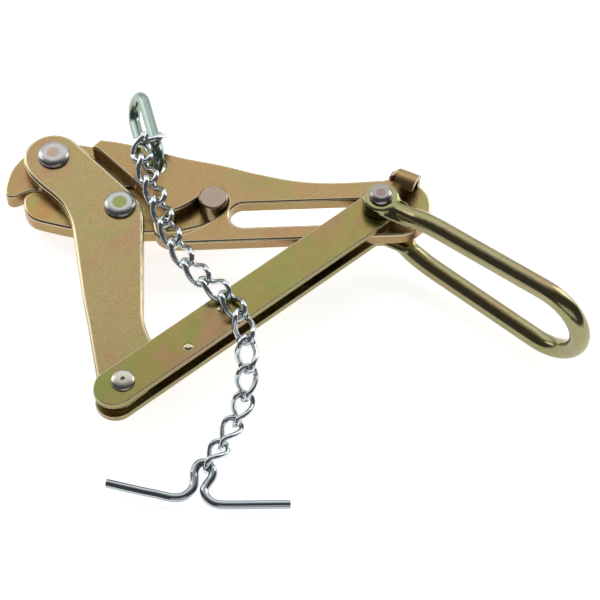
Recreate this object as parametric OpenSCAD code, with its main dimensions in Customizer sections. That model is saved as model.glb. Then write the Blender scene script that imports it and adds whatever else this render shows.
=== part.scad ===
// Parallel-jaw wire grip with pull bail, safety chain and T-toggle.
// Millimetres, +Z up. The tool lies flat: the front face of the body plate
// looks up, the pull slot runs along X, and the bail points to +X.
// All shapes are drawn from the lever pivot, on the plate's front face, and
// the whole tool is then moved so that the origin is under its middle.

/* [Body plate] */
// thickness of the plate, which is the lever's too
plate_t = 7.8; // [6.5:0.1:9.2]
// width of the long pull slot
slot_w = 15.4; // [13:0.1:16.6]
// centre of the slot's left end, along the plate
slot_left = 101.3; // [98:0.5:106]
// centre of the slot's right end
slot_right = 177.0; // [174.8:0.2:179]
// radius of the round tail
tail_r = 18.6; // [17.5:0.1:20]
// diameter of the hole for the chain ring
ring_hole_d = 11.4; // [10.8:0.1:12.4]

/* [Jaws] */
// thickness of the two jaws, behind the plate
jaw_t = 9.5; // [7.6:0.1:11.4]
// height of the fixed jaw's grip face under the lever pivot
grip_y = -16.6; // [-17.2:0.1:-15.8]
// gap between the two grip faces when the grip is closed
jaw_gap = 0.8; // [0.4:0.1:1.4]
// radius of the groove that takes the wire
groove_r = 3.1; // [2.4:0.1:3.4]

/* [Lever] */
// distance from the lever pivot to the jaw rivet
crank = 49.6; // [48.6:0.1:50.6]
// angle of the jaw rivet below the pivot, closed
crank_angle = -43.6; // [-44.6:0.1:-42.6]
// radius of the lever's round head
lever_head_r = 15.7; // [14.5:0.1:16.8]
// distance from the lever pivot to the link rivet
lever_len = 150; // [146:0.5:154]

/* [Guide plug] */
// diameter of the plug that rides in the curved slot
plug_d = 15.2; // [14:0.1:16]
// how far the plug stands above the plate
plug_rise = 4.6; // [3:0.1:5]
// angle that the lever and the curved slot allow
open_angle = 26; // [18:1:27]

/* [Link bars] */
// thickness of each bar
bar_t = 4.0; // [3.2:0.1:4.8]
// width of the bars
bar_w = 21; // [18:0.5:23]
// diameter of the main pin
pin_d = 9.6; // [8.6:0.1:10]

/* [Bail] */
// diameter of the bail's rod
bail_rod_d = 11; // [9.4:0.1:12]
// distance from the main pin to the centre of the bow
bail_len = 103.5; // [90:0.5:125]
// radius of the bow, to the middle of the rod
bow_r = 23; // [21.5:0.1:25]
// outside diameter of the two eyes
eye_d = 19.5; // [17:0.1:21]
// thickness of each eye
eye_t = 8.4; // [7:0.1:9.6]

/* [Rivets] */
// head diameter of the lever rivet and the jaw rivet
rivet_head_d = 17.2; // [14:0.1:19]
// their shank diameter
rivet_d = 10; // [8:0.1:11.6]
// head diameter of the link rivet
link_head_d = 12.2; // [10.5:0.1:14]

/* [Chain] */
// wire diameter of the chain
wire_d = 3.1; // [2.6:0.1:3.4]
// outside length of one link
link_len = 20.7; // [19:0.1:21.6]
// outside width of one link
link_w = 12.5; // [11.6:0.1:13.6]
// rod diameter of the chain ring
ring_rod_d = 6.6; // [5.5:0.1:7]
// outside length of the chain ring
ring_len = 55.5; // [52:0.5:62]
// wire diameter of the first link, which joins ring and chain
first_wire_d = 3.8; // [3.2:0.1:4]
// rod diameter of the toggle
toggle_d = 4.7; // [4:0.1:5]

/* [Hidden] */
$fn = 64;

gold = [0.72, 0.64, 0.42];
olive = [0.66, 0.64, 0.36];
silver = [0.78, 0.79, 0.8];

// clearances, named once
side_gap = 0.15;      // between bars and plate, on each side
layer_gap = 0.3;      // between the plate and the jaws behind it
run_fit = 0.06;       // radial, on a turning shank
seat_fit = 0.03;      // radial, on a fixed shank
plug_fit = 0.2;       // each side of the plug in its slot
head_gap = 0.08;      // under a head that a piece turns against
eye_gap = 0.2;        // between an eye and its bar

// levels
plate_back = -plate_t;
jaw_front = plate_back - layer_gap;
jaw_back = jaw_front - jaw_t;
mid_z = plate_back / 2;
bar_front_z = side_gap;
bar_rear_z = plate_back - side_gap - bar_t;
eye_front_z = bar_front_z + bar_t + eye_gap;
eye_rear_z = bar_rear_z - eye_gap - eye_t;

// pivots
jaw_pivot = crank * [cos(crank_angle), sin(crank_angle)];
plug_shift = [49.5, 0.2];                 // plug from the jaw rivet
plug_pos = jaw_pivot + plug_shift;
link_angle = -75.1;
link_pivot = lever_len * [cos(link_angle), sin(link_angle)];
slot_y = -43.3;
pin_pos = [173.3, slot_y];
bar_dir = atan2(pin_pos[1] - link_pivot[1], pin_pos[0] - link_pivot[0]);
bar_len = norm(pin_pos - link_pivot);
tail = [182, -41];

// origin under the middle of the whole tool
origin_shift = [-124.3, 81.5, 32.5];

// ---- helpers ----

function between(a, b, c, d, t) =
  0.5 * (2 * b + (c - a) * t + (2 * a - 5 * b + 4 * c - d) * t * t
         + (3 * b - a - 3 * c + d) * t * t * t);

// a smooth run through the points of p, with n steps to a span
function run(p, n = 6) =
  let (k = len(p) - 1, q = concat([2 * p[0] - p[1]], p, [2 * p[k] - p[k - 1]]))
  [for (i = [0 : k - 1], j = [0 : n - 1]) between(q[i], q[i + 1], q[i + 2], q[i + 3], j / n)];

// a tube of radius r round the closed or open line of points p
module tube(p, r, sides = 8, closed = true, up = [0, 0, 0]) {
  n = len(p);
  // tangent at each point
  tan = [for (i = [0 : n - 1])
    let (a = closed ? p[(i + n - 1) % n] : p[max(i - 1, 0)])
    let (b = closed ? p[(i + 1) % n] : p[min(i + 1, n - 1)])
    (b - a) / norm(b - a)];
  ring = [for (i = [0 : n - 1])
    let (base = norm(up) > 0 ? up : p[i])
    let (raw = base - (base * tan[i]) * tan[i])
    let (u = raw / norm(raw))
    let (v = cross(tan[i], u))
    [for (s = [0 : sides - 1]) p[i] + r * (cos(360 * s / sides) * u + sin(360 * s / sides) * v)]];
  pts = [for (g = ring) for (q = g) q];
  last = closed ? n - 1 : n - 2;
  sides_f = [for (i = [0 : last], s = [0 : sides - 1])
    let (a = i * sides, b = ((i + 1) % n) * sides, s2 = (s + 1) % sides)
    each [[a + s, b + s, a + s2], [a + s2, b + s, b + s2]]];
  ends = closed ? [] : [[for (s = [0 : sides - 1]) s],
    [for (s = [sides - 1 : -1 : 0]) (n - 1) * sides + s]];
  polyhedron(points = pts, faces = concat(sides_f, ends), convexity = 6);
}

// a rivet head with a flat middle, standing up from z = 0
module rivet_head(d, h, flat_d) {
  rim = h * 0.22;
  steps = 6;
  curve = [for (i = [0 : steps])
    [flat_d / 2 + (d - flat_d) / 2 * sin(90 * i / steps), rim + (h - rim) * cos(90 * i / steps)]];
  rotate_extrude() polygon(concat([[0, 0], [0, h]], curve, [[d / 2, 0]]));
}

// shank from z0 to z1 with a head at each end
module rivet(d, z0, z1, front_d, front_h, rear_d, rear_h, flat_d) {
  translate([0, 0, z0]) cylinder(d = d, h = z1 - z0);
  translate([0, 0, z1]) rivet_head(front_d, front_h, flat_d);
  translate([0, 0, z0]) mirror([0, 0, 1]) rivet_head(rear_d, rear_h, flat_d);
}

// ---- body ----

module tail_round() {
  translate(tail) circle(tail_r);
}

module plate_outline() {
  top = run([[25, 10.4], [36, 8], [52, 2.7], [70, -3.8], [90, -9.4], [110, -16.3],
    [130, -21.7], [150, -23.8], [176.3, -23.3]], 5);
  low_left = run([[68, -59.8], [62, -59.2], [57.4, -57], [54.4, -53], [53.2, -47]], 4);
  lip = run([[53.2, -47], [52.9, -41], [52.1, -35.4], [50.4, -29.8], [47.4, -24], [43.6, -18.9]], 4);
  corner = [[43.6, -18.9], [24, 3], [21.4, 4.7], [20.7, 5.6], [21, 6.6]];
  polygon(concat(top, [[176.3, -23.3], tail, [tail[0], tail[1] - tail_r]], low_left, lip, corner));
  tail_round();
}

module jaw_outline() {
  back = run([[44, 4.2], [36, 7], [28, 9.4], [20, 11.8], [10, 14], [0, 14.6], [-7, 13.2],
    [-13.4, 9.6], [-18.6, 5], [-22.8, -1], [-25.2, -7.6], [-26.3, -13], [-26.6, -16.4]], 4);
  hook = run([[-26.6, -16.4], [-26, -18.8], [-24.4, -20.5], [-22, -20.9], [-19.4, -20],
    [-16.9, -18.6], [-14.2, -17.4], [-11, grip_y]], 3);
  polygon(concat(back, hook, [[-11, grip_y], [44, grip_y]]));
}

module arc_slot(w) {
  a0 = crank_angle;
  a1 = crank_angle - open_angle - 0.4;
  ends = [for (s = [[a0, 0], [a1, 180]]) [for (i = [0 : 12])
    crank * [cos(s[0]), sin(s[0])] + w / 2 * [cos(s[0] + s[1] + 15 * i), sin(s[0] + s[1] + 15 * i)]]];
  outer = [for (i = [1 : 11]) (crank + w / 2) * [cos(a1 + (a0 - a1) * i / 12), sin(a1 + (a0 - a1) * i / 12)]];
  inner = [for (i = [11 : -1 : 1]) (crank - w / 2) * [cos(a1 + (a0 - a1) * i / 12), sin(a1 + (a0 - a1) * i / 12)]];
  translate(plug_shift) polygon(concat(outer, ends[0], inner, ends[1]));
}

module long_slot() {
  translate([slot_left, slot_y]) circle(slot_w / 2);
  translate([slot_right, slot_y]) circle(slot_w / 2);
  translate([slot_left, slot_y - slot_w / 2]) square([slot_right - slot_left, slot_w]);
}

ring_hole = [54.6, -8.6];

// the curled lug that stops the bail, on the edge of the round tail
module stop_lug() {
  lug_t = 3.2;
  lug_r = 7;
  half_w = 5.6;
  foot_w = 11;
  turn = 62;
  difference() {
    translate(tail) rotate([90, 0, turn]) translate([tail_r - 6.2, 0, -foot_w])
      linear_extrude(foot_w + half_w) {
        translate([6.2 - 2.9 - lug_t + 2.7, -plate_t]) square([lug_t + 0.3, plate_t + 4.5]);
        intersection() {
          translate([0, 4.5]) difference() {
            circle(lug_r);
            circle(lug_r - lug_t);
          }
          translate([0, 4.5]) polygon([[0, 0], [20, 0], [20, 20], [-20, 20], [-20, 11.5]]);
        }
      }
    // the lug's left corner is cut away on a slant
    translate(tail) rotate([90, 0, turn]) translate([-2, 0, -foot_w]) rotate([0, 90, 0])
      linear_extrude(tail_r + 4) polygon([[1, 0], [-5.6, 7.6], [-5.6, 20], [20, 20], [20, 0]]);
  }
}

module body() {
  color(gold) difference() {
    union() {
      translate([0, 0, plate_back]) linear_extrude(plate_t) plate_outline();
      translate([0, 0, jaw_back]) linear_extrude(jaw_t) jaw_outline();
      translate([0, 0, jaw_front - 0.5]) linear_extrude(layer_gap + 1) intersection() {
        plate_outline();
        jaw_outline();
      }
      stop_lug();
    }
    translate([0, 0, plate_back - 1]) linear_extrude(plate_t + 2) {
      arc_slot(plug_d + 2 * plug_fit);
      long_slot();
    }
    translate([ring_hole[0], ring_hole[1], plate_back - 1]) cylinder(d = ring_hole_d, h = plate_t + 2);
    translate([0, 0, jaw_back - 1]) cylinder(r = rivet_d / 2 + seat_fit, h = jaw_t + 2);
    wire_way();
  }
}

// the wire's path: a groove in the grip face, open to the rear at the hook
groove_y = grip_y + 1.2;
groove_z = jaw_back + 4.6;

module wire_way() {
  translate([-30, groove_y, groove_z]) rotate([0, 90, 0]) cylinder(r = groove_r, h = 80);
  translate([-12, groove_y - 6, groove_z - groove_r]) cube([60, 6, 2 * groove_r]);
  translate([-30, groove_y - groove_r, jaw_back - 1]) cube([19, 2 * groove_r, groove_z - jaw_back + 1]);
}

// ---- moving jaw and its plug ----

module moving_jaw_outline() {
  face = grip_y - jaw_gap;
  nose = run([[-11, face], [-13.6, face - 0.9], [-15.6, face - 2.6], [-16.5, face - 5.4],
    [-16.2, -27], [-14.9, -31], [-12.6, -34.3], [-9, -36.7], [-3, -38.8], [6, -41.6],
    [18, -44.6], [32, -46.2], [50, -46.6], [66, -46.4], [76, -44.4], [82, -42.4]], 4);
  heel = run([[86, -25.2], [76, -22], [66, -19.4], [56, face - 0.4], [46, face]], 4);
  polygon(concat(nose, [[82, -42.4], plug_pos], heel, [[46, face]]));
  translate(plug_pos) circle(8.8);
}

module moving_jaw() {
  front = plate_back - layer_gap;
  color(gold) difference() {
    translate([0, 0, jaw_back + 0.1]) linear_extrude(front - jaw_back - 0.1) moving_jaw_outline();
    translate([jaw_pivot[0], jaw_pivot[1], jaw_back - 1])
      cylinder(r = rivet_d / 2 + seat_fit, h = jaw_t + 3);
    translate([plug_pos[0], plug_pos[1], jaw_back - 1]) cylinder(r = 5 + seat_fit, h = jaw_t + 3);
    translate([-30, groove_y, groove_z]) rotate([0, 90, 0]) cylinder(r = groove_r, h = 90);
  }
}

module guide_plug() {
  color([0.7, 0.62, 0.6]) translate([plug_pos[0], plug_pos[1], 0]) {
    translate([0, 0, jaw_back + 0.1]) cylinder(d = 10, h = jaw_t);
    translate([0, 0, jaw_front]) cylinder(d = plug_d, h = plug_rise - jaw_front - 0.7);
    translate([0, 0, plug_rise - 0.7]) cylinder(d1 = plug_d, d2 = plug_d - 1.4, h = 0.7);
  }
}

// ---- lever ----

lever_head = [-0.6, -0.8];

module lever_outline() {
  // the head's two ends are arcs of its own circle, so the round is whole
  from = lever_head + lever_head_r * [cos(41.2), sin(41.2)];
  round_head = [for (a = [196 : -5 : 41.2]) lever_head + lever_head_r * [cos(a), sin(a)]];
  right = run([[41.6, -25], [44.9, -29.3], [47.1, -34], [48.1, -40], [48.3, -47]], 4);
  inner = run([[48.3, -95], [48.4, -103], [49.5, -110], [51.9, -117], [55, -123]], 4);
  foot = run([[55, -123], [57, -129.5], [56.4, -136.5], [53.4, -142.2], [50, -146.8]], 3);
  toe = run([[40.6, -154.2], [35.6, -155.6], [30.8, -153.4], [27.2, -148.6], [25.2, -142.4]], 4);
  outer = run([[25.2, -142.4], [24.2, -136], [22.3, -124], [19.8, -108], [17, -92], [13.4, -66],
    [12, -56], [10.8, -48], [9.2, -41.8], [6.9, -36], [3.9, -30.8], [0, -26.2], [-4.6, -21.6],
    [-9, -16.8], [-13, -11.4], lever_head + lever_head_r * [cos(199), sin(199)]], 4);
  polygon(concat([from], right, [[48.3, -47]], inner, foot, [[50, -146.8]], toe, outer, round_head));
}

module lever() {
  color(gold) difference() {
    translate([0, 0, plate_back]) linear_extrude(plate_t) lever_outline();
    translate([0, 0, plate_back - 1]) cylinder(r = rivet_d / 2 + run_fit, h = plate_t + 2);
    translate([jaw_pivot[0], jaw_pivot[1], plate_back - 1])
      cylinder(r = rivet_d / 2 + run_fit, h = plate_t + 2);
    translate([link_pivot[0], link_pivot[1], plate_back - 1])
      cylinder(r = 4.2 + run_fit, h = plate_t + 2);
  }
}

module lever_rivet() {
  color(silver) rivet(rivet_d, jaw_back, head_gap, rivet_head_d, 3, 15, 2.4, 8.2);
}

module jaw_rivet() {
  color(silver) translate([jaw_pivot[0], jaw_pivot[1], 0])
    rivet(rivet_d, jaw_back + 0.1, head_gap, rivet_head_d, 3, 15, 2.4, 9);
}

module link_rivet() {
  color(silver) translate([link_pivot[0], link_pivot[1], 0]) difference() {
    rivet(8.4, bar_rear_z, bar_front_z + bar_t, link_head_d, 2.2, link_head_d, 2.2, 3.2);
    translate([0, 0, bar_front_z + bar_t + 1.5]) cylinder(d1 = 1.2, d2 = 2.6, h = 1);
  }
}

// ---- link bars and main pin ----

module bar_outline() {
  // the left end runs past the rivet before it is rounded
  over = 5.6;
  translate([-over, 0]) circle(d = bar_w);
  translate([bar_len, 0]) circle(d = bar_w);
  translate([-over, -bar_w / 2]) square([bar_len + over, bar_w]);
}

module bar_blank(z) {
  translate([link_pivot[0], link_pivot[1], z]) rotate(bar_dir) difference() {
    linear_extrude(bar_t) bar_outline();
    translate([0, 0, -1]) cylinder(r = 4.2 + seat_fit, h = bar_t + 2);
    translate([bar_len, 0, -1]) cylinder(r = pin_d / 2 + seat_fit, h = bar_t + 2);
  }
}

// a small raised stud, pressed out of the bar
module stud(x, y) {
  translate([link_pivot[0], link_pivot[1], bar_front_z + bar_t - 0.5]) rotate(bar_dir)
    translate([x, y, 0]) cylinder(d1 = 5.6, d2 = 4, h = 1.3);
}

module link_bar_front() {
  color(olive) {
    bar_blank(bar_front_z);
    stud(37.2, -5);
    stud(64, 2.1);
  }
}

module link_bar_rear() {
  color(olive) bar_blank(bar_rear_z);
}

module main_pin() {
  top = eye_front_z + eye_t + head_gap;
  low = eye_rear_z - head_gap;
  color(silver) translate([pin_pos[0], pin_pos[1], 0])
    rivet(pin_d, low, top, 12.4, 3.2, 12.4, 3.2, 6);
}

// ---- bail ----

bail_dir = -40.3;
leg_start = 7;
start_out = eye_front_z + eye_t / 2 - mid_z + 0.95;   // the legs leave the eyes here
leg_knee = 33;          // they bend here, a third of the way
knee_out = start_out + 4.8;

// the legs meet the bow where both run the same way
lean = asin((bow_r - knee_out) / norm([bail_len - leg_knee, bow_r - knee_out]));

// the middle of one leg, from its eye to the bow, and then of half the bow
function bail_half() = concat(
  run([[leg_start, start_out], [19, start_out + 2.2], [leg_knee, knee_out], [leg_knee + 24, knee_out + 1.8],
    [bail_len - bow_r * sin(lean), bow_r * cos(lean)]], 4),
  [for (i = [0 : 10]) let (a = (90 + lean) * (1 - i / 10)) [bail_len + bow_r * cos(a), bow_r * sin(a)]]);

module bail_rod() {
  half = bail_half();
  n = len(half);
  line = concat([for (q = half) [q[0], 0, q[1]]],
    [for (i = [n - 2 : -1 : 0]) [half[i][0], 0, -half[i][1]]]);
  tube(line, bail_rod_d / 2, 20, closed = false, up = [0, 1, 0]);
}

module bail() {
  color(olive) translate([pin_pos[0], pin_pos[1], mid_z]) rotate(bail_dir) difference() {
    union() {
      translate([0, 0, eye_front_z - mid_z]) cylinder(d = eye_d, h = eye_t);
      translate([0, 0, eye_rear_z - mid_z]) cylinder(d = eye_d, h = eye_t);
      bail_rod();
    }
    // room for the bars between the eyes
    translate([0, 0, eye_rear_z + eye_t - mid_z])
      cylinder(r = bar_w / 2 + 2, h = eye_front_z - eye_rear_z - eye_t);
    translate([0, 0, -60]) cylinder(r = pin_d / 2 + run_fit, h = 120);
  }
}

// ---- chain ring and first link ----

ring_dir = 102.5;       // from the hole to the far end
ring_lean = 20;         // how far its plane leans from upright
ring_bend = 9.3;        // radius of its two bends
ring_at = [54.6, -9.2, mid_z];

module chain_ring() {
  straight = ring_len - ring_rod_d - 2 * ring_bend;
  color(silver) translate(ring_at) rotate([90 + ring_lean, 0, ring_dir]) translate([ring_bend, 0, 0]) {
    rotate(90) rotate_extrude(angle = 180) translate([ring_bend, 0]) circle(d = ring_rod_d);
    translate([straight, 0, 0]) rotate(-90)
      rotate_extrude(angle = 180) translate([ring_bend, 0]) circle(d = ring_rod_d);
    for (s = [-1, 1]) translate([0, s * ring_bend, 0]) rotate([0, 90, 0])
      cylinder(d = ring_rod_d, h = straight);
  }
}

first_at = [52.6, 5.7, mid_z + 9];
first_tilt = 133;
first_turn = 15;
first_half = [7.7, 9.1];

// a point on the first link's centreline
function first_point(a) =
  let (x = first_half[0] * cos(a), y = first_half[1] * sin(a), turn = first_turn)
  let (flat_y = y * cos(first_tilt))
  first_at + [x * cos(turn) - flat_y * sin(turn), x * sin(turn) + flat_y * cos(turn),
    y * sin(first_tilt)];

module first_link() {
  color(silver) translate(first_at) tube([for (i = [0 : 27]) first_point(360 * i / 28) - first_at],
    first_wire_d / 2, 10);
}

// ---- chain ----

// heading and dip of each link, from the first link to the toggle
headings = [-99, -77, -71, -72, -69, -64, -52, -42, -59, -79, -92, -104, -117, -120, -121];
dips = [-2, 0, -1, -1, 0, -1, -1, 1, 1, -14, -34, -43, -29, -9, -2];
pitch = link_len - 2 * wire_d - 0.35;

function heading(i) =
  [cos(dips[i]) * cos(headings[i]), cos(dips[i]) * sin(headings[i]), sin(dips[i])];

// the first links roll to suit the first link, and the last ones roll the other way,
// so that the final one stands on edge in the toggle
function roll(i) = i < 4 ? 10 * i - 40 : 11.25 * max(0, i - 10);

// the chain hangs from the near side of the first link
chain_start = first_point(122) - (wire_d + first_wire_d + 0.45) / 3.5 * heading(0);
function joint_at(i) = i == 0 ? chain_start : joint_at(i - 1) + pitch * heading(i - 1);

// half an oval's worth of end, and the twist of the link along its length
end_r = (link_w - wire_d) / 2;
side_half = (link_len - wire_d) / 2 - end_r;

function twisted(x, y) =
  let (turn = 45 * max(-1, min(1, x / (side_half + 0.4))))
  [x, y * cos(turn), y * sin(turn)];

function link_line() = concat(
  [for (i = [0 : 8]) let (a = -90 + 22.5 * i)
    twisted(side_half + end_r * cos(a), end_r * sin(a))],
  [for (i = [1 : 3]) twisted(side_half - side_half * i / 2, end_r)],
  [for (i = [0 : 8]) let (a = 90 + 22.5 * i)
    twisted(-side_half + end_r * cos(a), end_r * sin(a))],
  [for (i = [1 : 3]) twisted(-side_half + side_half * i / 2, -end_r)]);

module link_at(i) {
  color(silver) translate((joint_at(i) + joint_at(i + 1)) / 2)
    rotate([roll(i), -dips[i], headings[i]]) tube(link_line(), wire_d / 2, 8);
}

module chain_link_01() {
  link_at(0);
}
module chain_link_02() {
  link_at(1);
}
module chain_link_03() {
  link_at(2);
}
module chain_link_04() {
  link_at(3);
}
module chain_link_05() {
  link_at(4);
}
module chain_link_06() {
  link_at(5);
}
module chain_link_07() {
  link_at(6);
}
module chain_link_08() {
  link_at(7);
}
module chain_link_09() {
  link_at(8);
}
module chain_link_10() {
  link_at(9);
}
module chain_link_11() {
  link_at(10);
}
module chain_link_12() {
  link_at(11);
}
module chain_link_13() {
  link_at(12);
}
module chain_link_14() {
  link_at(13);
}
module chain_link_15() {
  link_at(14);
}

// ---- toggle ----

// the toggle is drawn from the top of its eye, which the last link holds
module toggle() {
  // the last link's end wire passes through the middle of the eye
  eye = joint_at(15) + (wire_d / 2 + 0.1) * heading(14);
  top = eye + [-0.2, 4.3, 0];
  fall = -0.0462;        // the table's slope under the tool
  flat = [[-48, -10.1], [-31.3, -14.6], [-22.9, -16.7], [-15.8, -18.6], [-10.8, -18.4], [-7.2, -16],
    [-5, -12.6], [-4.5, -8.6], [-4.5, -5], [-2.9, -1.3], [0, 0], [3.1, -1.3], [4.8, -4.8],
    [4.2, -8.1], [2.1, -11.2], [0.4, -14.4], [0.8, -17.6], [2.8, -20.6], [6.2, -22.6],
    [12.2, -23.2], [27.7, -23.3], [42.7, -23.4]];
  // the last link lifts the loop by about its own play
  line = run([for (q = flat) [q[0], q[1], fall * q[0] - 1.1 * min(1, -q[1] / 12)]], 3);
  tip = [42.7, -23.4, fall * 42.7 - 1.1];
  color(silver) translate(top) tube(concat(line, [tip]),
    toggle_d / 2, 10, closed = false, up = [0, 0, 1]);
}

// ---- the whole tool ----

translate(origin_shift) {
  body();
  moving_jaw();
  guide_plug();
  lever();
  lever_rivet();
  jaw_rivet();
  link_rivet();
  link_bar_front();
  link_bar_rear();
  main_pin();
  bail();
  chain_ring();
  first_link();
  chain_link_01();
  chain_link_02();
  chain_link_03();
  chain_link_04();
  chain_link_05();
  chain_link_06();
  chain_link_07();
  chain_link_08();
  chain_link_09();
  chain_link_10();
  chain_link_11();
  chain_link_12();
  chain_link_13();
  chain_link_14();
  chain_link_15();
  toggle();
}
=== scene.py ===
import math

import bmesh
import bpy
from mathutils import Matrix, Vector


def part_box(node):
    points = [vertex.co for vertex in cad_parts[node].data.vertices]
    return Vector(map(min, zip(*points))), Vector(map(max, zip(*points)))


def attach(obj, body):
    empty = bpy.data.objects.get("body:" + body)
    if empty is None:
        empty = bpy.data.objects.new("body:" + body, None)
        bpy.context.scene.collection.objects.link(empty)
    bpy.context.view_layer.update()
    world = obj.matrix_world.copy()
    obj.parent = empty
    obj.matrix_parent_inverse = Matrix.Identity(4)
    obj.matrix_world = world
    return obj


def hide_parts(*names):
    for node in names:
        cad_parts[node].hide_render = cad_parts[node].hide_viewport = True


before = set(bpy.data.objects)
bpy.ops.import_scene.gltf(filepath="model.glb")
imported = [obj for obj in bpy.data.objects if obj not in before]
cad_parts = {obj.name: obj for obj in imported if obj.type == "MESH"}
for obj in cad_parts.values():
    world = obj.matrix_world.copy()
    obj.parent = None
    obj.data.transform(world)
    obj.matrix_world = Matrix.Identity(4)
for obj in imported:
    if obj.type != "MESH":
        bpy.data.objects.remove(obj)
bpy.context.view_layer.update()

# ---------------------------------------------------------------- camera ----
# The view looks down on the front of the tool from the side of its lever.
# The lens is long, so the parallel edges of the bars stay nearly parallel.
camera_data = bpy.data.cameras.new("camera")
camera_data.lens = 117
camera_data.sensor_width = 36
camera = bpy.data.objects.new("camera", camera_data)
bpy.context.scene.collection.objects.link(camera)
view_right = Vector((0.99912, -0.04188, 0.0))
view_up = Vector((0.03512, 0.83794, 0.54464))
view_back = view_right.cross(view_up)
stand = Vector((-0.0185, -0.5608, 0.8712))
camera.matrix_world = Matrix((
    (view_right.x, view_up.x, view_back.x, stand.x),
    (view_right.y, view_up.y, view_back.y, stand.y),
    (view_right.z, view_up.z, view_back.z, stand.z),
    (0, 0, 0, 1),
))
bpy.context.scene.camera = camera

# ------------------------------------------------------- table and lights ----
# A pale table that falls slightly to the right, as the tool lies on it. One
# wide softbox stands behind it, one at each side and a low one in front. The
# tent is bright behind and dark in front, so round wire shows a dark line.
MM = 0.001
ORIGIN = (-124.3, 81.5, 32.5)  # the drawing's zero, on the plate's front face
TABLE_FALL = 0.0462            # fall to the right, per mm
TABLE_BELOW = 23.2             # under the drawing's zero, in mm
TABLE_HALF = 1.6               # half its side, in m


def paint(name):
    material = bpy.data.materials.new(name)
    material.use_nodes = True
    tree = material.node_tree
    return material, tree, tree.nodes["Principled BSDF"]


def softbox(name, place, size_x, size_y, power):
    """A soft rectangular lamp that faces the tool."""
    lamp_data = bpy.data.lights.new(name, "AREA")
    lamp_data.shape = "RECTANGLE"
    lamp_data.size = size_x
    lamp_data.size_y = size_y
    lamp_data.energy = power
    lamp = bpy.data.objects.new(name, lamp_data)
    bpy.context.scene.collection.objects.link(lamp)
    lamp.location = place
    lamp.rotation_euler = (-Vector(place)).to_track_quat("-Z", "Y").to_euler()


softbox("softbox_back", (0.05, 0.75, 0.75), 1.3, 0.8, 1.85)
softbox("side_left", (-0.8, 0.55, 0.4), 0.45, 0.85, 2.2)
softbox("side_right", (0.8, 0.55, 0.4), 0.45, 0.85, 3.0)
softbox("fill_front", (0.2, -0.95, 0.45), 1.0, 0.4, 1.0)

table_mesh = bpy.data.meshes.new("table")
form = bmesh.new()
bmesh.ops.create_grid(form, x_segments=1, y_segments=1, size=TABLE_HALF)
lean = Matrix.Rotation(math.atan(TABLE_FALL), 3, "Y")
bmesh.ops.rotate(form, verts=form.verts, matrix=lean)
table_z = ORIGIN[2] - TABLE_BELOW + TABLE_FALL * ORIGIN[0]
bmesh.ops.translate(form, verts=form.verts, vec=(0, 0, table_z * MM))
form.to_mesh(table_mesh)
form.free()
table = bpy.data.objects.new("table", table_mesh)
bpy.context.scene.collection.objects.link(table)
table_material, tree, surface = paint("pale_table")
surface.inputs["Base Color"].default_value = (0.9, 0.9, 0.9, 1)
surface.inputs["Roughness"].default_value = 0.7
surface.inputs["Emission Color"].default_value = (1, 1, 1, 1)
path = tree.nodes.new("ShaderNodeLightPath")
mirrored = tree.nodes.new("ShaderNodeMath")
mirrored.operation = "MULTIPLY"
mirrored.inputs[1].default_value = 0.8
seen = tree.nodes.new("ShaderNodeMath")
seen.operation = "MULTIPLY_ADD"
seen.inputs[1].default_value = 0.75
tree.links.new(path.outputs["Is Glossy Ray"], mirrored.inputs[0])
tree.links.new(path.outputs["Is Camera Ray"], seen.inputs[0])
tree.links.new(mirrored.outputs[0], seen.inputs[2])
tree.links.new(seen.outputs[0], surface.inputs["Emission Strength"])
table_mesh.materials.append(table_material)

world = bpy.data.worlds.new("studio")
bpy.context.scene.world = world
world.use_nodes = True
tree = world.node_tree
room = tree.nodes["Background"]
toward = tree.nodes.new("ShaderNodeTexCoord")
behind = tree.nodes.new("ShaderNodeVectorMath")
behind.operation = "DOT_PRODUCT"
behind.inputs[1].default_value = (0, 0.93, 0.37)
tent = tree.nodes.new("ShaderNodeValToRGB")
tent.color_ramp.interpolation = "EASE"
dark_end, bright_end = tent.color_ramp.elements
dark_end.position = 0.3
dark_end.color = (0.09, 0.09, 0.095, 1)
bright_end.position = 0.85
bright_end.color = (0.8, 0.82, 0.84, 1)
path = tree.nodes.new("ShaderNodeLightPath")
white = tree.nodes.new("ShaderNodeMix")
white.data_type = "RGBA"
white.inputs["B"].default_value = (1, 1, 1, 1)
tree.links.new(toward.outputs["Generated"], behind.inputs[0])
tree.links.new(behind.outputs["Value"], tent.inputs["Fac"])
tree.links.new(tent.outputs["Color"], white.inputs["A"])
tree.links.new(path.outputs["Is Camera Ray"], white.inputs["Factor"])
tree.links.new(white.outputs["Result"], room.inputs["Color"])

# ------------------------------------------------------ forged body plate ----
# One steel forging: the slotted plate, the fixed jaw behind it and the lug
# that stops the bail. It is drop forged, tumbled and yellow zinc plated: its
# edges are rounded and paler, partly plating rubbed thin and partly a painted
# highlight, and it drifts between gold, green and rose.
SHIFT = Vector(ORIGIN)
PLATE_T = 7.8
FIXED_JAW_FRONT, FIXED_JAW_BACK = 8.1, 17.6  # behind the plate's front face
PLATE_ROUND, FIXED_JAW_ROUND, BACK_ROUND = 1.3, 1.0, 0.45


def at(x, y, z):
    """A point of the drawing, in the frame's metres."""
    return (Vector((x, y, z)) + SHIFT) * MM


def worked_copy(node):
    """A merged copy of a CAD piece, with its flat faces whole again."""
    shape = bmesh.new()
    shape.from_mesh(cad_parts[node].data)
    for face in shape.faces:
        face.material_index = 0
    bmesh.ops.remove_doubles(shape, verts=shape.verts, dist=2e-6)
    bmesh.ops.dissolve_limit(shape, angle_limit=math.radians(0.6),
                             verts=shape.verts, edges=shape.edges)
    return shape


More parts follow.
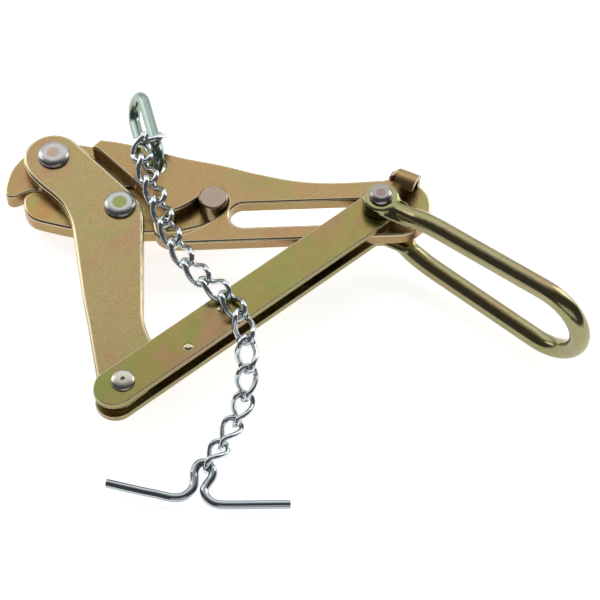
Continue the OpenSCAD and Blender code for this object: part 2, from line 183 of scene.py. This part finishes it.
def round_edges(shape, level_z, width, segments=3):
    """Rounds the outer edges that lie at the height level_z, and gives them the paler edge
    colour: partly rubbed plating, partly a painted highlight.
    """
    z = level_z * MM
    corner, slack = math.radians(35), 3e-5
    rim = []
    for edge in shape.edges:
        if len(edge.link_faces) != 2 or edge.calc_face_angle(0) < corner:
            continue
        if edge.is_convex and all(abs(v.co.z - z) < slack for v in edge.verts):
            rim.append(edge)
    made = bmesh.ops.bevel(shape, geom=rim, offset=width * MM, offset_type="OFFSET",
                           segments=segments, profile=0.5, affect="EDGES",
                           clamp_overlap=False, material=-1)
    # the rounds take material 1, the paler edge colour: plating rubbed thin and partly a
    # painted highlight
    for face in made["faces"]:
        face.material_index = 1


def keep_piece(shape, name, node, body, materials, smooth=math.radians(32)):
    """Makes the shape a piece that rides on body and stands for node."""
    mesh = bpy.data.meshes.new(name)
    for material in materials:
        mesh.materials.append(material)
    shape.to_mesh(mesh)
    shape.free()
    mesh.shade_smooth()
    mesh.set_sharp_from_angle(angle=smooth)
    piece = bpy.data.objects.new(name, mesh)
    bpy.context.scene.collection.objects.link(piece)
    flats = piece.modifiers.new("flats", "WEIGHTED_NORMAL")
    flats.weight = 100
    flats.keep_sharp = True
    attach(piece, body)
    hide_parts(node)


def zinc_group():
    """Yellow zinc: cloudy gold, green and rose, with a fine pickled grain."""
    group = bpy.data.node_groups.new("yellow_zinc", "ShaderNodeTree")
    sockets = group.interface
    for label, kind in (("Vector", "Vector"), ("Gold", "Color"), ("Green", "Color"),
                        ("Rose", "Color"), ("Cloud", "Float"), ("Grain", "Float")):
        sockets.new_socket(label, in_out="INPUT", socket_type="NodeSocket" + kind)
    for label, kind in (("Color", "Color"), ("Roughness", "Float"), ("Height", "Float")):
        sockets.new_socket(label, in_out="OUTPUT", socket_type="NodeSocket" + kind)
    nodes, links = group.nodes, group.links
    source = nodes.new("NodeGroupInput")
    result = nodes.new("NodeGroupOutput")

    def noise(scale, detail, rough, shift, distortion=0.0):
        move = nodes.new("ShaderNodeMapping")
        move.inputs["Location"].default_value = shift
        links.new(source.outputs["Vector"], move.inputs["Vector"])
        tex = nodes.new("ShaderNodeTexNoise")
        tex.inputs["Scale"].default_value = scale
        tex.inputs["Detail"].default_value = detail
        tex.inputs["Roughness"].default_value = rough
        tex.inputs["Distortion"].default_value = distortion
        links.new(move.outputs["Vector"], tex.inputs["Vector"])
        return tex.outputs["Fac"]

    def span(value, low, high, to_low, to_high):
        node = nodes.new("ShaderNodeMapRange")
        node.interpolation_type = "SMOOTHSTEP"
        node.inputs["From Min"].default_value = low
        node.inputs["From Max"].default_value = high
        node.inputs["To Min"].default_value = to_low
        node.inputs["To Max"].default_value = to_high
        links.new(value, node.inputs["Value"])
        return node.outputs["Result"]

    def times(a, b):
        node = nodes.new("ShaderNodeMath")
        node.operation = "MULTIPLY"
        links.new(a, node.inputs[0])
        links.new(b, node.inputs[1])
        return node.outputs[0]

    def blend(kind, factor, a, b):
        node = nodes.new("ShaderNodeMix")
        node.data_type = "RGBA"
        node.blend_type = kind
        links.new(factor, node.inputs["Factor"])
        links.new(a, node.inputs["A"])
        links.new(b, node.inputs["B"])
        return node.outputs["Result"]

    green_cloud = noise(22, 3, 0.55, (0.3, 0.1, 0.7), 0.6)
    rose_cloud = noise(31, 3, 0.6, (3.1, 1.7, 0.2), 0.8)
    green = times(span(green_cloud, 0.5, 0.66, 0, 1), source.outputs["Cloud"])
    rose = times(span(rose_cloud, 0.5, 0.66, 0, 1), source.outputs["Cloud"])
    tone = blend("MIX", green, source.outputs["Gold"], source.outputs["Green"])
    tone = blend("MIX", rose, tone, source.outputs["Rose"])
    fleck = noise(900, 4, 0.7, (0, 0, 0))
    speck = nodes.new("ShaderNodeCombineColor")
    for index, (low, high) in enumerate(((0.86, 1.12), (0.86, 1.12), (0.84, 1.14))):
        links.new(span(fleck, 0.3, 0.7, low, high), speck.inputs[index])
    tone = blend("MULTIPLY", source.outputs["Grain"], tone, speck.outputs["Color"])
    mottle = noise(140, 4, 0.6, (1, 5, 2))
    shade = nodes.new("ShaderNodeCombineColor")
    for index in range(3):
        links.new(span(mottle, 0.25, 0.75, 0.9, 1.08), shade.inputs[index])
    tone = blend("MULTIPLY", source.outputs["Grain"], tone, shade.outputs["Color"])
    links.new(tone, result.inputs["Color"])
    links.new(span(mottle, 0.3, 0.7, 0.22, 0.36), result.inputs["Roughness"])
    links.new(fleck, result.inputs["Height"])
    return group


YELLOW_ZINC = zinc_group()


def zinc_plate(name, gold, green, rose, cloud, grain, bump, rough=None, shift=(0, 0, 0)):
    """A yellow zinc finish. Its roughness is the group's, unless rough is given."""
    material, tree, surface = paint(name)
    place = tree.nodes.new("ShaderNodeTexCoord")
    move = tree.nodes.new("ShaderNodeMapping")
    move.inputs["Location"].default_value = shift
    zinc = tree.nodes.new("ShaderNodeGroup")
    zinc.node_tree = YELLOW_ZINC
    zinc.inputs["Gold"].default_value = (*gold, 1)
    zinc.inputs["Green"].default_value = (*green, 1)
    zinc.inputs["Rose"].default_value = (*rose, 1)
    zinc.inputs["Cloud"].default_value = cloud
    zinc.inputs["Grain"].default_value = grain
    relief = tree.nodes.new("ShaderNodeBump")
    relief.inputs["Strength"].default_value = bump
    relief.inputs["Distance"].default_value = 0.0002
    tree.links.new(place.outputs["Object"], move.inputs["Vector"])
    tree.links.new(move.outputs["Vector"], zinc.inputs["Vector"])
    tree.links.new(zinc.outputs["Color"], surface.inputs["Base Color"])
    tree.links.new(zinc.outputs["Height"], relief.inputs["Height"])
    tree.links.new(relief.outputs["Normal"], surface.inputs["Normal"])
    surface.inputs["Metallic"].default_value = 1.0
    if rough is None:
        tree.links.new(zinc.outputs["Roughness"], surface.inputs["Roughness"])
    else:
        surface.inputs["Roughness"].default_value = rough
    return material


# the paler colour of the rounded edges and the studs: plating rubbed thin, and partly a
# painted highlight where the rounds catch the light
worn_edge = zinc_plate("worn_edge", (0.54, 0.465, 0.30), (0.49, 0.47, 0.27),
                       (0.56, 0.43, 0.29), 0.5, 0.3, 0.06, rough=0.16)
body_zinc = zinc_plate("body_zinc", (0.37, 0.25, 0.115), (0.285, 0.275, 0.095),
                       (0.39, 0.21, 0.115), 0.8, 0.7, 0.25)
plate_front = SHIFT.z
plate_back = SHIFT.z - PLATE_T
shape = worked_copy("body")
round_edges(shape, plate_front, PLATE_ROUND, 4)
round_edges(shape, plate_back, BACK_ROUND)
round_edges(shape, SHIFT.z - FIXED_JAW_FRONT, FIXED_JAW_ROUND)
round_edges(shape, SHIFT.z - FIXED_JAW_BACK, BACK_ROUND)
keep_piece(shape, "body_forging", "body", "frame", (body_zinc, worn_edge))

# ------------------------------------------------------------- moving jaw ----
# The moving jaw is a second forging behind the plate, with the same plating.
# It carries the plug that runs in the curved slot of the body.
MOVING_JAW_FRONT, MOVING_JAW_BACK = 8.1, 17.5  # behind the plate's front face
jaw_zinc = zinc_plate("jaw_zinc", (0.40, 0.28, 0.115), (0.31, 0.30, 0.11),
                      (0.43, 0.23, 0.09), 0.9, 0.7, 0.25, shift=(0.4, 0.2, 0))
shape = worked_copy("moving_jaw")
round_edges(shape, SHIFT.z - MOVING_JAW_FRONT, 1.3)
round_edges(shape, SHIFT.z - MOVING_JAW_BACK, 1.0)
keep_piece(shape, "moving_jaw_forging", "moving_jaw", "jaw", (jaw_zinc, worn_edge))

# ------------------------------------------------------------------ lever ----
# A flat forged lever with softly rounded edges, plated like the body. Two
# rivets hold its head, and a smaller one joins its foot to the link bars.
lever_zinc = zinc_plate("lever_zinc", (0.355, 0.275, 0.125), (0.285, 0.285, 0.095),
                        (0.38, 0.235, 0.13), 0.8, 0.9, 0.3, shift=(0.93, 0.36, 0))
shape = worked_copy("lever")
round_edges(shape, plate_front, 1.7, 5)
round_edges(shape, plate_back, 1.2)
keep_piece(shape, "lever_forging", "lever", "lever", (lever_zinc, worn_edge))

# -------------------------------------------------------------- link bars ----
# Two stamped steel bars run from the lever's foot to the main pin, one on
# each side of the plate. Their plating is greener and smoother, and the two
# low studs on the front one take the paler edge colour: rubbed bright, and
# partly a painted highlight.
BAR_T, BAR_ROUND = 4.0, 0.6
STUD_H, STUD_ROUND = 0.8, 1.1
BAR_FRONTS = {"front": 4.15, "rear": -7.95}  # from the plate's front face
bar_zinc = zinc_plate("bar_zinc", (0.285, 0.24, 0.08), (0.225, 0.26, 0.075),
                      (0.33, 0.205, 0.105), 0.9, 0.5, 0.15, shift=(1.72, 0.62, 0))
for side, bar_front in BAR_FRONTS.items():
    top = SHIFT.z + bar_front
    shape = worked_copy("link_bar_" + side)
    round_edges(shape, top, BAR_ROUND)
    round_edges(shape, top - BAR_T, BAR_ROUND)
    round_edges(shape, top + STUD_H, STUD_ROUND, 5)
    # the stud tops take material 1, the paler edge colour: rubbed plating and partly a
    # painted highlight
    for face in shape.faces:
        if face.calc_center_median().z > (top + 0.1) * MM:
            face.material_index = 1
    keep_piece(shape, "link_bar_%s_stamping" % side, "link_bar_" + side, "link",
               (bar_zinc, worn_edge))

# -------------------------------------------------------- rivets and pins ----
# Turned steel: wide domed heads with a flat middle, where some of the yellow
# plating is left, and the bright zinc of the dome round it. The rivets are
# headed over at both ends, and the plug is pressed into the moving jaw.
MASK_SOFT = 0.5
SILVER = (0.52, 0.52, 0.5)


def middle_of(node):
    low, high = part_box(node)
    return (low + high) / 2


def turned_metal(name, centre, middle_r, middle, dome):
    """Bright metal, with a middle of another colour round the upright axis."""
    material, tree, surface = paint(name)
    place = tree.nodes.new("ShaderNodeTexCoord")
    move = tree.nodes.new("ShaderNodeMapping")
    move.inputs["Location"].default_value = (-centre.x, -centre.y, 0)
    flat = tree.nodes.new("ShaderNodeMapping")
    flat.inputs["Scale"].default_value = (1, 1, 0)
    reach = tree.nodes.new("ShaderNodeVectorMath")
    reach.operation = "LENGTH"
    mask = tree.nodes.new("ShaderNodeMapRange")
    mask.interpolation_type = "SMOOTHSTEP"
    mask.inputs["From Min"].default_value = (middle_r + MASK_SOFT) * MM
    mask.inputs["From Max"].default_value = (middle_r - MASK_SOFT) * MM
    mix = tree.nodes.new("ShaderNodeMix")
    mix.data_type = "RGBA"
    mix.inputs["A"].default_value = (*dome, 1)
    mix.inputs["B"].default_value = (*middle, 1)
    cloud = tree.nodes.new("ShaderNodeTexNoise")
    cloud.inputs["Scale"].default_value = 420
    cloud.inputs["Detail"].default_value = 4
    rough = tree.nodes.new("ShaderNodeMapRange")
    rough.inputs["To Min"].default_value = 0.16
    rough.inputs["To Max"].default_value = 0.36
    tone = tree.nodes.new("ShaderNodeMix")
    tone.data_type = "RGBA"
    tone.blend_type = "MULTIPLY"
    tone.inputs["Factor"].default_value = 0.35
    relief = tree.nodes.new("ShaderNodeBump")
    relief.inputs["Strength"].default_value = 0.07
    relief.inputs["Distance"].default_value = 0.0003
    links = tree.links
    links.new(place.outputs["Object"], move.inputs["Vector"])
    links.new(move.outputs["Vector"], flat.inputs["Vector"])
    links.new(flat.outputs["Vector"], reach.inputs[0])
    links.new(reach.outputs["Value"], mask.inputs["Value"])
    links.new(mask.outputs["Result"], mix.inputs["Factor"])
    links.new(place.outputs["Object"], cloud.inputs["Vector"])
    links.new(mix.outputs["Result"], tone.inputs["A"])
    links.new(cloud.outputs["Fac"], tone.inputs["B"])
    links.new(tone.outputs["Result"], surface.inputs["Base Color"])
    links.new(cloud.outputs["Fac"], rough.inputs["Value"])
    links.new(rough.outputs["Result"], surface.inputs["Roughness"])
    links.new(cloud.outputs["Fac"], relief.inputs["Height"])
    links.new(relief.outputs["Normal"], surface.inputs["Normal"])
    surface.inputs["Metallic"].default_value = 1.0
    return material


# the body it rides on, the radius of its middle, and both colours
heads = {
    "lever_rivet": ("frame", 3.4, (0.48, 0.36, 0.27), SILVER),
    "jaw_rivet": ("jaw", 3.9, (0.30, 0.34, 0.12), SILVER),
    "link_rivet": ("link", 0.9, (0.25, 0.23, 0.2), (0.60, 0.57, 0.48)),
    "main_pin": ("link", 2.6, (0.33, 0.24, 0.21), (0.40, 0.38, 0.35)),
    "guide_plug": ("jaw", 7.0, (0.40, 0.31, 0.24), (0.36, 0.28, 0.18)),
}
for node, (body, middle_r, middle, dome) in heads.items():
    metal = turned_metal(node + "_metal", middle_of(node), middle_r, middle, dome)
    keep_piece(worked_copy(node), node + "_turned", node, body, (metal,),
               smooth=math.radians(28))

# ------------------------------------------------------------------- bail ----
# A round rod forged into a long loop, with an eye at each end that the main
# pin holds outside the link bars. The rod swells into its eyes, and its
# plating is paler and greener than the plate's.
PIN = Vector((173.3, -43.3, -PLATE_T / 2))
BAIL_TURN = math.radians(-40.3)
BAIL_ROD, BAIL_LEN, BOW_R = 5.5, 103.5, 23.0
KNEE, KNEE_OUT = 33.0, 18.2
NECK, NECK_STEPS = 0.72, 8                    # thinner inside the eye
EYE_R, EYE_T = 9.75, 8.4
EYE_BASES = (-16.65, 8.25)                    # rear eye and front eye
FLARE_R, FLARE_END_R, FLARE_LEN = 8.6, 5.2, 17
FLARE_OUT, FLARE_FLAT = 12.5, 0.48
LEG_STEPS, BOW_STEPS = 6, 16


def smooth_run(points, steps):
    """A smooth run through the points, with the given steps to a span."""
    points = [Vector(p) for p in points]
    ends = [2 * points[0] - points[1]] + points + [2 * points[-1] - points[-2]]
    run = []
    for i in range(len(points) - 1):
        a, b, c, d = ends[i:i + 4]
        for j in range(steps):
            t = j / steps
            run.append(0.5 * (2 * b + (c - a) * t + (2 * a - 5 * b + 4 * c - d) * t * t
                              + (3 * b - a - 3 * c + d) * t ** 3))
    return run + [points[-1]]


def wire(name, points, radius, closed, fine=5, swell=()):
    """The shape of a round wire along points, all in metres.

    swell thickens or thins both ends of an open wire, from the tip inwards.
    """
    line = bpy.data.curves.new(name, "CURVE")
    line.dimensions = "3D"
    line.bevel_depth = radius
    line.bevel_resolution = fine
    line.use_fill_caps = not closed
    spline = line.splines.new("POLY")
    spline.points.add(len(points) - 1)
    for spot, p in zip(spline.points, points):
        spot.co = (*p, 1)
    for i, share in enumerate(swell):
        spline.points[i].radius = spline.points[-1 - i].radius = share
    spline.use_cyclic_u = closed
    carrier = bpy.data.objects.new(name + "_line", line)
    bpy.context.scene.collection.objects.link(carrier)
    bpy.context.view_layer.update()
    graph = bpy.context.evaluated_depsgraph_get()
    mesh = bpy.data.meshes.new_from_object(carrier.evaluated_get(graph))
    bpy.data.objects.remove(carrier)
    bpy.data.curves.remove(line)
    shape = bmesh.new()
    shape.from_mesh(mesh)
    bpy.data.meshes.remove(mesh)
    return shape


# half of the loop, from inside an eye past the knee and round to the top of
# the bow, drawn flat and then stood on edge and mirrored
drift = math.asin((BOW_R - KNEE_OUT) / math.hypot(BAIL_LEN - KNEE, BOW_R - KNEE_OUT))
bow_start = (BAIL_LEN - BOW_R * math.sin(drift), BOW_R * math.cos(drift), 0)
half = smooth_run([(6, 12.5, 0), (19, 15.0, 0), (KNEE, KNEE_OUT, 0),
                   (KNEE + 24, KNEE_OUT + 1.8, 0), bow_start], LEG_STEPS)
for i in range(1, BOW_STEPS + 1):
    a = (math.pi / 2 + drift) * (1 - i / BOW_STEPS)
    half.append(Vector((BAIL_LEN + BOW_R * math.cos(a), BOW_R * math.sin(a), 0)))
loop = ([Vector((p.x, 0, p.y)) for p in half]
        + [Vector((p.x, 0, -p.y)) for p in half[-2::-1]])
neck = [NECK + (1 - NECK) * i / NECK_STEPS for i in range(NECK_STEPS + 1)]
shape = wire("bail_rod", [p * MM for p in loop], BAIL_ROD * MM, False, 7, neck)
for base in EYE_BASES:
    middle_z = (base + EYE_T / 2) * MM
    eye = bmesh.ops.create_cone(shape, cap_ends=True, segments=64, radius1=EYE_R * MM,
                                radius2=EYE_R * MM, depth=EYE_T * MM)["verts"]
    bmesh.ops.translate(shape, verts=eye, vec=(0, 0, middle_z))
    flare = bmesh.ops.create_cone(shape, cap_ends=True, segments=48, radius1=FLARE_R * MM,
                                  radius2=FLARE_END_R * MM, depth=FLARE_LEN * MM)["verts"]
    bmesh.ops.rotate(shape, verts=flare, matrix=Matrix.Rotation(math.pi / 2, 3, "Y"))
    bmesh.ops.scale(shape, verts=flare, vec=(1, 1, FLARE_FLAT))
    bmesh.ops.translate(shape, verts=flare, vec=(FLARE_OUT * MM, 0, middle_z))
mesh = bpy.data.meshes.new("bail_blank")
shape.to_mesh(mesh)
shape.free()
blank = bpy.data.objects.new("bail_blank", mesh)
bpy.context.scene.collection.objects.link(blank)
knit = blank.modifiers.new("knit", "REMESH")
knit.mode = "VOXEL"
knit.voxel_size = 0.00062
soften = blank.modifiers.new("soften", "SMOOTH")
soften.factor = 0.5
soften.iterations = 14
bpy.context.view_layer.update()
graph = bpy.context.evaluated_depsgraph_get()
forged = bpy.data.meshes.new_from_object(blank.evaluated_get(graph))
shape = bmesh.new()
shape.from_mesh(forged)
bpy.data.objects.remove(blank)
bpy.data.meshes.remove(mesh)
bpy.data.meshes.remove(forged)
bmesh.ops.rotate(shape, verts=shape.verts, matrix=Matrix.Rotation(BAIL_TURN, 3, "Z"))
bmesh.ops.translate(shape, verts=shape.verts, vec=(PIN + SHIFT) * MM)
bail_zinc = zinc_plate("bail_zinc", (0.31, 0.28, 0.15), (0.265, 0.27, 0.115),
                       (0.33, 0.245, 0.135), 0.7, 0.6, 0.2, rough=0.15,
                       shift=(2.3, 0.1, 0))
keep_piece(shape, "bail_forging", "bail", "bail", (bail_zinc,), smooth=math.pi)

# ---------------------------------------------- chain ring and first link ----
# An oblong ring of bright zinc plated rod through the hole in the plate, and
# the round link that joins it to the chain.
WIRE_SMOOTH = math.radians(60)
RING_BEND, RING_LEN, RING_ROD, RING_STEPS = 9.3, 55.5, 3.3, 24
RING_AT = (54.6, -9.2, -PLATE_T / 2)
FIRST_HALF_X, FIRST_HALF_Y, FIRST_ROD, FIRST_STEPS = 7.7, 9.1, 1.9, 48
FIRST_AT = (52.6, 5.7, 5.1)


def bright_zinc(name, tone, rough, dent):
    """Bright zinc, slightly cloudy, with fine differences of shine."""
    material, tree, surface = paint(name)
    place = tree.nodes.new("ShaderNodeTexCoord")
    cloud = tree.nodes.new("ShaderNodeTexNoise")
    cloud.inputs["Scale"].default_value = 260
    cloud.inputs["Detail"].default_value = 3
    fleck = tree.nodes.new("ShaderNodeTexNoise")
    fleck.inputs["Scale"].default_value = 1400
    fleck.inputs["Detail"].default_value = 2
    shine = tree.nodes.new("ShaderNodeMapRange")
    shine.inputs["To Min"].default_value = rough * 0.7
    shine.inputs["To Max"].default_value = rough * 1.5
    mix = tree.nodes.new("ShaderNodeMix")
    mix.data_type = "RGBA"
    mix.inputs["A"].default_value = (tone[0] * 0.8, tone[1] * 0.82, tone[2] * 0.84, 1)
    mix.inputs["B"].default_value = (*tone, 1)
    relief = tree.nodes.new("ShaderNodeBump")
    relief.inputs["Strength"].default_value = dent
    relief.inputs["Distance"].default_value = 0.0004
    links = tree.links
    links.new(place.outputs["Object"], cloud.inputs["Vector"])
    links.new(place.outputs["Object"], fleck.inputs["Vector"])
    links.new(cloud.outputs["Fac"], mix.inputs["Factor"])
    links.new(mix.outputs["Result"], surface.inputs["Base Color"])
    links.new(fleck.outputs["Fac"], shine.inputs["Value"])
    links.new(shine.outputs["Result"], surface.inputs["Roughness"])
    links.new(cloud.outputs["Fac"], relief.inputs["Height"])
    links.new(relief.outputs["Normal"], surface.inputs["Normal"])
    surface.inputs["Metallic"].default_value = 1.0
    return material


ring_zinc = bright_zinc("ring_zinc", (0.30, 0.37, 0.32), 0.18, 0.1)
ring_turn = (Matrix.Rotation(math.radians(102.5), 3, "Z")
             @ Matrix.Rotation(math.radians(110), 3, "X"))
straight = RING_LEN - 2 * RING_ROD - 2 * RING_BEND
oval = []
for bend_x, start in ((0, 90), (straight, -90)):
    for i in range(RING_STEPS + 1):
        a = math.radians(start + 180 * i / RING_STEPS)
        p = Vector((bend_x + RING_BEND * math.cos(a), RING_BEND * math.sin(a), 0))
        p = ring_turn @ (p + Vector((RING_BEND, 0, 0)))
        oval.append(at(RING_AT[0] + p.x, RING_AT[1] + p.y, RING_AT[2] + p.z))
keep_piece(wire("ring", oval, RING_ROD * MM, True, 9),
           "chain_ring_rod", "chain_ring", "ring", (ring_zinc,), smooth=WIRE_SMOOTH)

chain_zinc = bright_zinc("chain_zinc", (0.68, 0.73, 0.74), 0.15, 0.3)
tilt, spin = math.radians(133), math.radians(15)
round_link = []
for i in range(FIRST_STEPS):
    a = 2 * math.pi * i / FIRST_STEPS
    x, y = FIRST_HALF_X * math.cos(a), FIRST_HALF_Y * math.sin(a)
    across = y * math.cos(tilt)
    round_link.append(at(FIRST_AT[0] + x * math.cos(spin) - across * math.sin(spin),
                         FIRST_AT[1] + x * math.sin(spin) + across * math.cos(spin),
                         FIRST_AT[2] + y * math.sin(tilt)))
keep_piece(wire("first", round_link, FIRST_ROD * MM, True, 6),
           "first_link_wire", "first_link", "first", (chain_zinc,), smooth=WIRE_SMOOTH)

# ------------------------------------------------------------------ chain ----
# Fifteen links of twisted chain, each bent from wire, butt welded and given a
# quarter turn, so that it lies flat in its neighbours. The wire is drawn
# 3 per cent thin, so that neighbours cut less into each other.
LINK_LEN, LINK_W, WIRE = 20.7, 12.5, 3.1
WIRE_HALF = 0.485
HEADINGS = [-99, -77, -71, -72, -69, -64, -52, -42, -59, -79, -92, -104, -117, -120, -121]
DIPS = [-2, 0, -1, -1, 0, -1, -1, 1, 1, -14, -34, -43, -29, -9, -2]
ROLLS = [-40, -30, -20, -10, 0, 0, 0, 0, 0, 0, 0, 11.25, 22.5, 33.75, 45]
END_STEPS, SIDE_STEPS = 16, 8
end_r = (LINK_W - WIRE) / 2
side_half = (LINK_LEN - WIRE) / 2 - end_r


def twisted(x, y):
    """Turns a point of a flat link by its share of the quarter turn."""
    turn = math.radians(45) * max(-1, min(1, x / (side_half + 0.4)))
    return Vector((x, y * math.cos(turn), y * math.sin(turn)))


link_line = []
for sign in (1, -1):
    for i in range(END_STEPS + 1):
        a = math.radians(-90 + 180 * i / END_STEPS)
        link_line.append(twisted(sign * (side_half + end_r * math.cos(a)),
                                 sign * end_r * math.sin(a)))
    for i in range(1, SIDE_STEPS):
        link_line.append(twisted(sign * side_half * (1 - 2 * i / SIDE_STEPS), sign * end_r))
for index, (heading, dip, roll) in enumerate(zip(HEADINGS, DIPS, ROLLS), 1):
    node = "chain_link_%02d" % index
    pose = (Matrix.Rotation(math.radians(heading), 3, "Z")
            @ Matrix.Rotation(math.radians(-dip), 3, "Y")
            @ Matrix.Rotation(math.radians(roll), 3, "X"))
    centre = middle_of(node)
    shape = wire(node, [centre + pose @ p * MM for p in link_line],
                 WIRE * WIRE_HALF * MM, True, 5)
    keep_piece(shape, node + "_wire", node, "link_%02d" % index, (chain_zinc,),
               smooth=WIRE_SMOOTH)

# ----------------------------------------------------------------- toggle ----
# One bright rod bent into a T: an arm to each side, and between them a
# narrow loop that the last link hangs in. Its ends are cut square.
TOGGLE_ROD = 2.35
SINK, SINK_RUN = 1.1, 12  # the arms lie this much lower than the loop's top
toggle_line = [
    (-48, -10.1), (-31.3, -14.6), (-22.9, -16.7), (-15.8, -18.6), (-10.8, -18.4),
    (-7.2, -16), (-5, -12.6), (-4.5, -8.6), (-4.5, -5), (-2.9, -1.3), (0, 0),
    (3.1, -1.3), (4.8, -4.8), (4.2, -8.1), (2.1, -11.2), (0.4, -14.4), (0.8, -17.6),
    (2.8, -20.6), (6.2, -22.6), (12.2, -23.2), (27.7, -23.3), (42.7, -23.4),
]
toggle_zinc = bright_zinc("toggle_zinc", (0.46, 0.5, 0.51), 0.09, 0.05)
bend = smooth_run([(x, y, -TABLE_FALL * x - SINK * min(1, -y / SINK_RUN))
                   for x, y in toggle_line], 5)
shape = wire("toggle", [p * MM for p in bend], TOGGLE_ROD * MM, False, 7)
drawn_low, drawn_high = (Vector([pick(v.co[i] for v in shape.verts) for i in range(3)])
                         for pick in (min, max))
bmesh.ops.translate(shape, verts=shape.verts,
                    vec=middle_of("toggle") - (drawn_low + drawn_high) / 2)
keep_piece(shape, "toggle_rod", "toggle", "toggle", (toggle_zinc,), smooth=WIRE_SMOOTH)

# ----------------------------------------------------------------- finish ----
# The scene is shown as written.
bpy.context.scene.view_settings.view_transform = "Standard"
